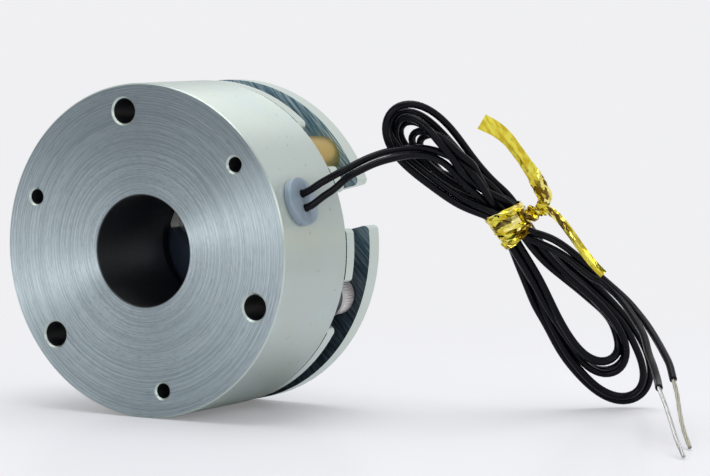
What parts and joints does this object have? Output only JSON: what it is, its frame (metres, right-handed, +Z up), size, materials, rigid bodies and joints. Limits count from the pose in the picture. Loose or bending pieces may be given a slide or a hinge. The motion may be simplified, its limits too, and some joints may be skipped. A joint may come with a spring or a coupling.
{
  "type": "power-off brake",
  "caption": "Spring-applied electromagnetic brake: round coil body, armature, friction disc on a keyed hub, end plate on spacers, captive mounting screws and a tied pair of leads.",
  "frame": {"origin": "centre of the body's bore on its flat mounting face", "axes": "+Y runs into the brake along its axis, away from the mounting face; +X is right and +Z up, looking at the mounting face"},
  "size_m": [0.1609, 0.0715, 0.072],
  "materials": {
    "zinc_steel": "turned, pale zinc plating",
    "ground_steel": "ground and plated",
    "carrier_steel": "blued, satin",
    "hub_steel": "turned",
    "black_steel": "black oxide",
    "spring_steel": "bright",
    "plated_screw": "bright nickel plating",
    "brass_sleeve": "satin, passivated",
    "friction_lining": "moulded friction material",
    "black_moulding": "moulded",
    "copper_wire": "enamelled copper",
    "clear_grommet": "milky, translucent",
    "black_insulation": "glossy",
    "tinned_strands": "tinned copper strands",
    "gold_foil": "metallic foil"
  },
  "bodies": {
    "magnet_body": {"stator_core": "zinc_steel", "coil_bobbin": "black_moulding", "coil_winding": "copper_wire", "potting_ring": "black_moulding", "torque_springs": "spring_steel", "end_plate": "ground_steel", "spacer_sleeves": "brass_sleeve", "assembly_screws": "black_steel", "lead_grommet": "clear_grommet", "lead_wire_upper": "black_insulation", "lead_wire_lower": "black_insulation", "wire_hank": "black_insulation", "free_end_left": "black_insulation", "free_end_right": "black_insulation", "bare_end_left": "tinned_strands", "bare_end_right": "tinned_strands", "twist_tie_band": "gold_foil", "twist_tie_knot": "gold_foil", "twist_tie_end_upper": "gold_foil", "twist_tie_end_lower": "gold_foil"},
    "armature": {"armature_plate": "ground_steel"},
    "hub": {"drive_hub": "hub_steel", "hub_setscrews": "black_steel"},
    "friction_disc": {"friction_carrier": "carrier_steel", "lining_front": "friction_lining", "lining_rear": "friction_lining"},
    "screw_1": {"mounting_screw_1": "plated_screw", "spring_washer_1": "spring_steel"},
    "screw_2": {"mounting_screw_2": "plated_screw", "spring_washer_2": "spring_steel"},
    "screw_3": {"mounting_screw_3": "plated_screw", "spring_washer_3": "spring_steel"}
  },
  "joints": [
    {"name": "armature_release", "type": "slide", "parent": "magnet_body", "child": "armature", "axis": [0, -1, 0], "range_m": [0, 0.0002], "stiffness_N_per_m": 4000, "springref_m": -0.001},
    {"name": "hub_spin", "type": "hinge", "parent": "magnet_body", "child": "hub", "pos_m": [0, 0, 0], "axis": [0, 1, 0], "continuous": true},
    {"name": "disc_float", "type": "slide", "parent": "hub", "child": "friction_disc", "axis": [0, -1, 0], "range_m": [0, 0.0001]},
    {"name": "screw_1_slide", "type": "slide", "parent": "magnet_body", "child": "screw_1", "axis": [0, -1, 0], "range_m": [0, 0.0032]},
    {"name": "screw_2_slide", "type": "slide", "parent": "magnet_body", "child": "screw_2", "axis": [0, -1, 0], "range_m": [0, 0.0032]},
    {"name": "screw_3_slide", "type": "slide", "parent": "magnet_body", "child": "screw_3", "axis": [0, -1, 0], "range_m": [0, 0.0032]}
  ],
  "couplings": [
    {"joint": "disc_float", "follows": "armature_release", "ratio": 0.5}
  ]
}
